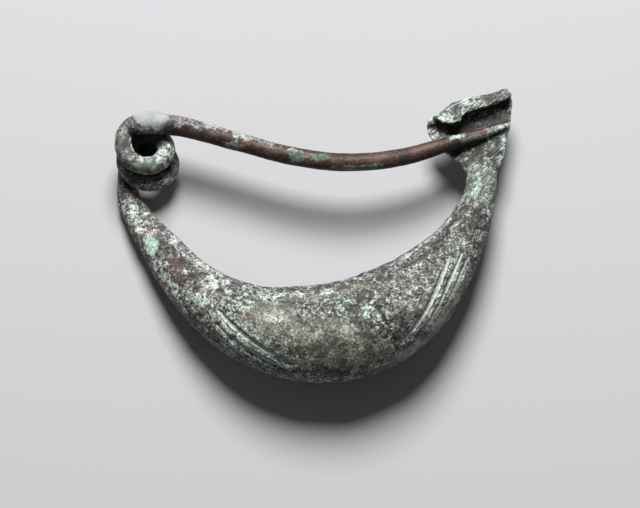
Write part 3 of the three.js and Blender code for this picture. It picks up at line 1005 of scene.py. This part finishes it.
@dataclass(frozen=True)
class Patina:
    """Corroded bronze: dark purple-brown metal under mint-white and green minerals."""

    black: tuple = rgb(0.012, 0.011, 0.011)
    dark: tuple = rgb(0.036, 0.031, 0.029)
    brown: tuple = rgb(0.083, 0.078, 0.071)
    grey: tuple = rgb(0.170, 0.180, 0.160)
    mint: tuple = rgb(0.330, 0.420, 0.360)
    chalk: tuple = rgb(0.640, 0.700, 0.640)
    stone: tuple = rgb(0.180, 0.165, 0.155)
    white: tuple = rgb(0.640, 0.630, 0.620)
    sage: tuple = rgb(0.190, 0.262, 0.220)
    moss: tuple = rgb(0.060, 0.120, 0.088)
    olive: tuple = rgb(0.180, 0.188, 0.142)
    olive_dark: tuple = rgb(0.050, 0.046, 0.036)
    olive_pale: tuple = rgb(0.400, 0.430, 0.340)
    bronze: tuple = rgb(0.088, 0.052, 0.040)
    bronze_dark: tuple = rgb(0.034, 0.021, 0.017)
    mauve: tuple = rgb(0.270, 0.240, 0.245)
    red: tuple = rgb(0.150, 0.064, 0.066)
    mend: tuple = rgb(0.225, 0.242, 0.247)
    mend_pale: tuple = rgb(0.305, 0.322, 0.322)
    turquoise: tuple = rgb(0.280, 0.430, 0.370)
    ochre: tuple = rgb(0.085, 0.050, 0.028)

    # how far each finish moves the crust's tone, on the scale of the stops below; the share of
    # broad hollows darkens as painted shade, partly dirt, and the dark share is partly painted
    # shade, on the coil's lower turns and under the catch's lip
    tone_shift: tuple = (("raised", 0.08), ("mint", 0.085), ("pale", 0.05), ("dark", -0.06),
                         ("recess", -0.12), ("streak", 0.01), ("plate", -0.01), ("rust", -0.07))
    stops: tuple = (0.33, 0.42, 0.485, 0.545, 0.61, 0.72)
    stony_stops: tuple = (0.33, 0.42, 0.485, 0.545, 0.62, 0.72)
    relief: float = 0.22

    def _crust(self, on: Layers) -> Value:
        """Colour of the speckled crust: dark hollows, brown and grey, and mint to chalky grains.

        Args:
            on: What it is mixed from.

        Returns:
            The colour.
        """
        g, at, clouds, grains, spots = on.graph, on.share, on.clouds, on.grains, on.spots
        veins = g.grain(0.9, detail=2.0, roughness=0.6, distortion=1.2)
        veins = g.node("Math", {"operation": "ABSOLUTE"}, {0: veins - 0.5})
        hairs = g.grain(0.22, detail=2.0, roughness=0.6, distortion=0.6,
                        stretch=(1.0, 0.12, 1.0), turn=math.radians(-52))
        contrast = 0.55 + g.step(clouds, 0.36, 0.58) * 0.55
        contrast = contrast - at["plate"] * 0.35 - at["streak"] * 0.5 - at["turns"] * 0.42
        tone = (grains - 0.5) * contrast + 0.51
        tone = tone + (clouds - 0.5) * 0.22 + (spots - 0.5) * 0.30 - veins * 0.45
        for name, shift in self.tone_shift:
            tone = tone + at[name] * shift
        tone = tone + (hairs - 0.5) * (at["plate"] * 0.80 + at["streak"] * 0.50)

        green = (self.black, self.dark, self.brown, self.grey, self.mint, self.chalk)
        stony = (self.black, self.dark, self.brown, self.stone, self.mauve, self.white)
        crust = g.ramp(tone, tuple(zip(self.stops, green)))
        stony = g.ramp(tone, tuple(zip(self.stony_stops, stony)))
        stone = at["crust"] * (1.0 - at["mint"]) * g.step(spots, 0.30, 0.55) * 0.8
        crust = g.mix(stone, crust, stony)
        hollow = g.step(clouds, 0.56, 0.70) * g.step(1.0 - grains, 0.46, 0.56)
        crust = g.mix(hollow * 0.6, crust, self.moss)
        crust = g.mix(at["streak"] * 0.20 + at["plate"] * 0.05, crust, self.sage)
        rust = g.mix(g.step(tone, 0.46, 0.60), self.brown, self.mauve)
        return g.mix(at["rust"] * g.step(tone, 0.40, 0.46) * 0.8, crust, rust)

    def _worn(self, on: Layers, crust: Value) -> Value:
        """Lays the smooth olive of the belly and the bare metal of the pin over the crust.

        Args:
            on: What they are mixed from.
            crust: The crust's colour.

        Returns:
            The colour.
        """
        g, at, clouds, grains = on.graph, on.share, on.clouds, on.grains
        smooth = grains + (clouds - 0.5) * 0.9
        olive = g.ramp(smooth, ((0.34, self.olive_dark), (0.45, self.brown), (0.50, self.olive),
                                (0.57, self.olive), (0.68, self.olive_pale)))
        metal = g.mix(g.step(smooth, 0.40, 0.60), self.bronze_dark, self.bronze)
        metal = g.mix(g.step(grains, 0.62, 0.72) * 0.5, metal, self.grey)
        colour = g.mix(at["olive"] * 0.85 * (1.0 - at["mint"]), crust, olive)
        worn = at["bronze"] * (1.0 - at["mint"]) * (1.0 - at["green"])
        return g.mix(worn * (1.0 - at["mauve"] * 0.9), colour, metal)

    def _spots(self, on: Layers, colour: Value) -> Value:
        """Lays the patches of other colours, the grooves' floors, the mend, painted shade and
        painted highlights over the rest.

        Args:
            on: What they are mixed from.
            colour: The colour under them.

        Returns:
            The colour.
        """
        g, at, clouds, grains = on.graph, on.share, on.clouds, on.grains
        floor = g.mix(g.step(grains, 0.42, 0.56), self.mint, self.chalk)
        mend = g.mix(g.step(clouds, 0.38, 0.62), self.mend, self.mend_pale)
        blue = g.mix(g.step(grains, 0.50, 0.62), self.turquoise, self.chalk)
        layers = (
            (at["mauve"] * g.step(grains + clouds * 0.4, 0.62, 0.76) * 0.75, self.mauve),
            (g.step(at["red"] + grains * 0.7, 0.85, 1.25) * 0.75, self.red),
            (at["green"] * g.step(grains, 0.36, 0.52) * 0.8, self.moss),
            (at["ochre"] * g.step(1.0 - grains, 0.40, 0.56), self.ochre),
            (g.step(at["groove"] + grains * 0.4, 0.48, 0.78) * 0.92, floor),
            (at["mend"] * 0.95, mend),
            (at["crack"], self.black),
            (at["turquoise"] * g.step(grains, 0.32, 0.44), blue),
            # painted shade, laid on in black
            (at["soot"] * 0.9, self.black),
            # painted highlights: a glint on the arm and the lit rim of the coil's hole, in chalk
            (at["white"] * g.step(grains, 0.38, 0.50), self.chalk))
        for share, over in layers:
            colour = g.mix(share, colour, over)
        return colour

    def material(self) -> Material:
        """Builds the material.

        Returns:
            The finish of the whole brooch.
        """
        g = Graph("patinated_bronze")
        at = {name: g.attribute(name) for name in NAMES}
        fine = g.grain(0.42, detail=3.0, roughness=0.72, distortion=0.3)
        finest = g.grain(0.2, detail=2.0, roughness=0.6)
        on = Layers(g, at, clouds=g.grain(2.6, detail=3.0, roughness=0.6),
                    spots=g.grain(1.3, detail=2.0, roughness=0.5, distortion=0.5),
                    grains=fine * 0.95 + finest * 0.35 - 0.15)
        colour = self._spots(on, self._worn(on, self._crust(on)))
        bare = at["bronze"] * (1.0 - at["mauve"]) * (1.0 - at["mint"]) * (1.0 - at["green"])
        calm = 1.0 - (at["olive"] * 0.55 + bare * 0.8 + at["mend"] * 0.75)
        bump = g.node("Bump", None, {
            "Strength": 1.0, "Distance": self.relief * MM, "Height": on.grains * calm})
        return g.finish({"Base Color": colour, "Roughness": 0.68 - bare * 0.08 - at["olive"] * 0.1,
                         "Metallic": bare * 0.5, "Normal": bump})


@dataclass(frozen=True)
class Paper:
    """Plain pale floor."""

    colour: tuple = rgb(0.44, 0.44, 0.455)

    def material(self) -> Material:
        """Builds the material."""
        g = Graph("floor_paper")
        return g.finish({"Base Color": self.colour, "Roughness": 0.9})


# ---- the whole brooch ------------------------------------


@dataclass
class Fibula:
    """The brooch in one piece: its body and catch joined, worked and dressed."""

    body: Body = field(default_factory=Body)
    catch: Catch = field(default_factory=Catch)
    lying: Lying = field(default_factory=Lying)
    finish: Patina = field(default_factory=Patina)
    grain: float = 0.25
    soften: int = 2
    near_rounds: int = 4
    near_full: float = 0.06
    wide_rounds: int = 16
    wide_full: float = 0.25

    def _joined(self) -> Mesh:
        """Joins the body and the catch into one closed skin of even grain."""
        bm = bmesh.new()
        self.body.build(bm)
        for obj in self.catch.build():
            mesh = apply_modifiers(obj)
            bm.from_mesh(mesh)
            bpy.data.meshes.remove(mesh)
        for obj in [o for o in bpy.data.objects if o.name.startswith("cutter")]:
            bpy.data.objects.remove(obj)
        bmesh.ops.recalc_face_normals(bm, faces=bm.faces)
        whole = mesh_object("whole", bm)
        remesh = whole.modifiers.new("grain", "REMESH")
        remesh.mode = "VOXEL"
        remesh.voxel_size = self.grain
        soft = whole.modifiers.new("soften", "SMOOTH")
        soft.factor = 0.5
        soft.iterations = self.soften
        return apply_modifiers(whole)

    @staticmethod
    def _curvature(points: Array, normals: Array, edges: Array,
                   rounds: int) -> Array:
        """How far each point stands above its neighbourhood; hollows are negative.

        Args:
            points: The points.
            normals: Their outward directions.
            edges: Pairs of joined points.
            rounds: How wide the neighbourhood is.

        Returns:
            One value for each point.
        """
        mean = points.copy()
        ends = np.concatenate([edges[:, 0], edges[:, 1]])
        others = np.concatenate([edges[:, 1], edges[:, 0]])
        count = np.bincount(ends, minlength=len(points))[:, None]
        for _ in range(rounds):
            total = [np.bincount(ends, mean[others, k], len(points)) for k in range(3)]
            mean = np.stack(total, axis=1) / np.maximum(count, 1)
        return ((points - mean) * normals).sum(axis=1)

    def build(self) -> Object:
        """Builds the brooch and lays it down.

        Returns:
            Its object, riding on the frame in place of the bare solid.
        """
        mesh = self._joined()
        points = read_rows(mesh.vertices, "co", 3, float)
        normals = read_rows(mesh.vertex_normals, "vector", 3, float)
        edges = read_rows(mesh.edges, "vertices", 2, np.int32)
        self.lying.settle(points)
        worked, shares = Corrosion(self.body, self.catch).work(points, normals)
        near = self._curvature(worked, normals, edges, self.near_rounds)
        shares["raised"] = np.clip(near / self.near_full, -1.0, 1.0)
        # painted shade, partly dirt: broad hollows darken the tone through this share
        wide = self._curvature(worked, normals, edges, self.wide_rounds)
        shares["recess"] = np.clip(-wide / self.wide_full, 0.0, 1.0)
        placed = np.clip(self.lying.place(worked), *(np.array(corner) for corner in CAD_BOX))
        mesh.vertices.foreach_set("co", placed.ravel())
        for name in NAMES:
            layer = mesh.attributes.new(name, "FLOAT", "POINT")
            layer.data.foreach_set("value", shares[name].astype(np.float32))
        mesh.update()
        mesh.shade_smooth()
        mesh.name = "fibula_skin"
        mesh.materials.append(self.finish.material())
        obj = add_object("fibula_skin", mesh)
        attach(obj, "root")
        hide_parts("fibula")
        LOG.info("fibula_skin: %d points, %d faces", len(points), len(mesh.polygons))
        return obj


# ---- the studio ------------------------------------------


@dataclass
class Studio:
    """Plain floor, one soft key light from above the brooch, weak fill, and the camera."""

    aim: tuple[float, float, float] = (1.00, -3.08, 7.0)
    tilt: float = math.radians(9.0)
    lens: float = 200.0
    sensor: float = 36.0
    field_width: float = 102.4
    near_clip: float = 0.01
    key_height: float = math.radians(49.0)
    key_distance: float = 700.0
    key_size: float = 300.0
    key_power: float = 9.6
    fill: float = 0.09
    floor_size: float = 4000.0

    def build(self) -> None:
        """Sets up the studio."""
        scene = bpy.context.scene
        bm = bmesh.new()
        bmesh.ops.create_grid(bm, x_segments=1, y_segments=1, size=self.floor_size / 2 * MM)
        floor = mesh_object("floor", bm)
        floor.data.materials.append(Paper().material())

        aim = Vector(self.aim) * MM
        data = bpy.data.cameras.new("camera")
        data.lens = self.lens
        data.sensor_width = self.sensor
        data.clip_start = self.near_clip
        camera = add_object("camera", data)
        view = Vector((0.0, -math.sin(self.tilt), math.cos(self.tilt)))
        distance = self.field_width * self.lens / self.sensor * MM
        camera.matrix_world = (Matrix.Translation(aim + view * distance)
                               @ Matrix.Rotation(self.tilt, 4, "X"))
        scene.camera = camera

        key = bpy.data.lights.new("key", "AREA")
        key.shape = "DISK"
        key.size = self.key_size * MM
        key.energy = self.key_power
        lamp = add_object("key", key)
        way = Vector((0.0, math.cos(self.key_height), math.sin(self.key_height)))
        lamp.location = aim + way * self.key_distance * MM
        lamp.rotation_euler = way.to_track_quat("Z", "Y").to_euler()

        world = bpy.data.worlds.new("world")
        world.use_nodes = True
        light = world.node_tree.nodes["Background"].inputs
        light[0].default_value, light[1].default_value = rgb(1.0, 1.0, 1.0), self.fill
        scene.world = world
        scene.view_settings.view_transform = "Standard"


def main() -> None:
    """Builds the brooch and the studio."""
    logging.basicConfig(level=logging.INFO, format="%(name)s %(message)s")
    Fibula().build()
    Studio().build()


if __name__ == "__main__":
    main()
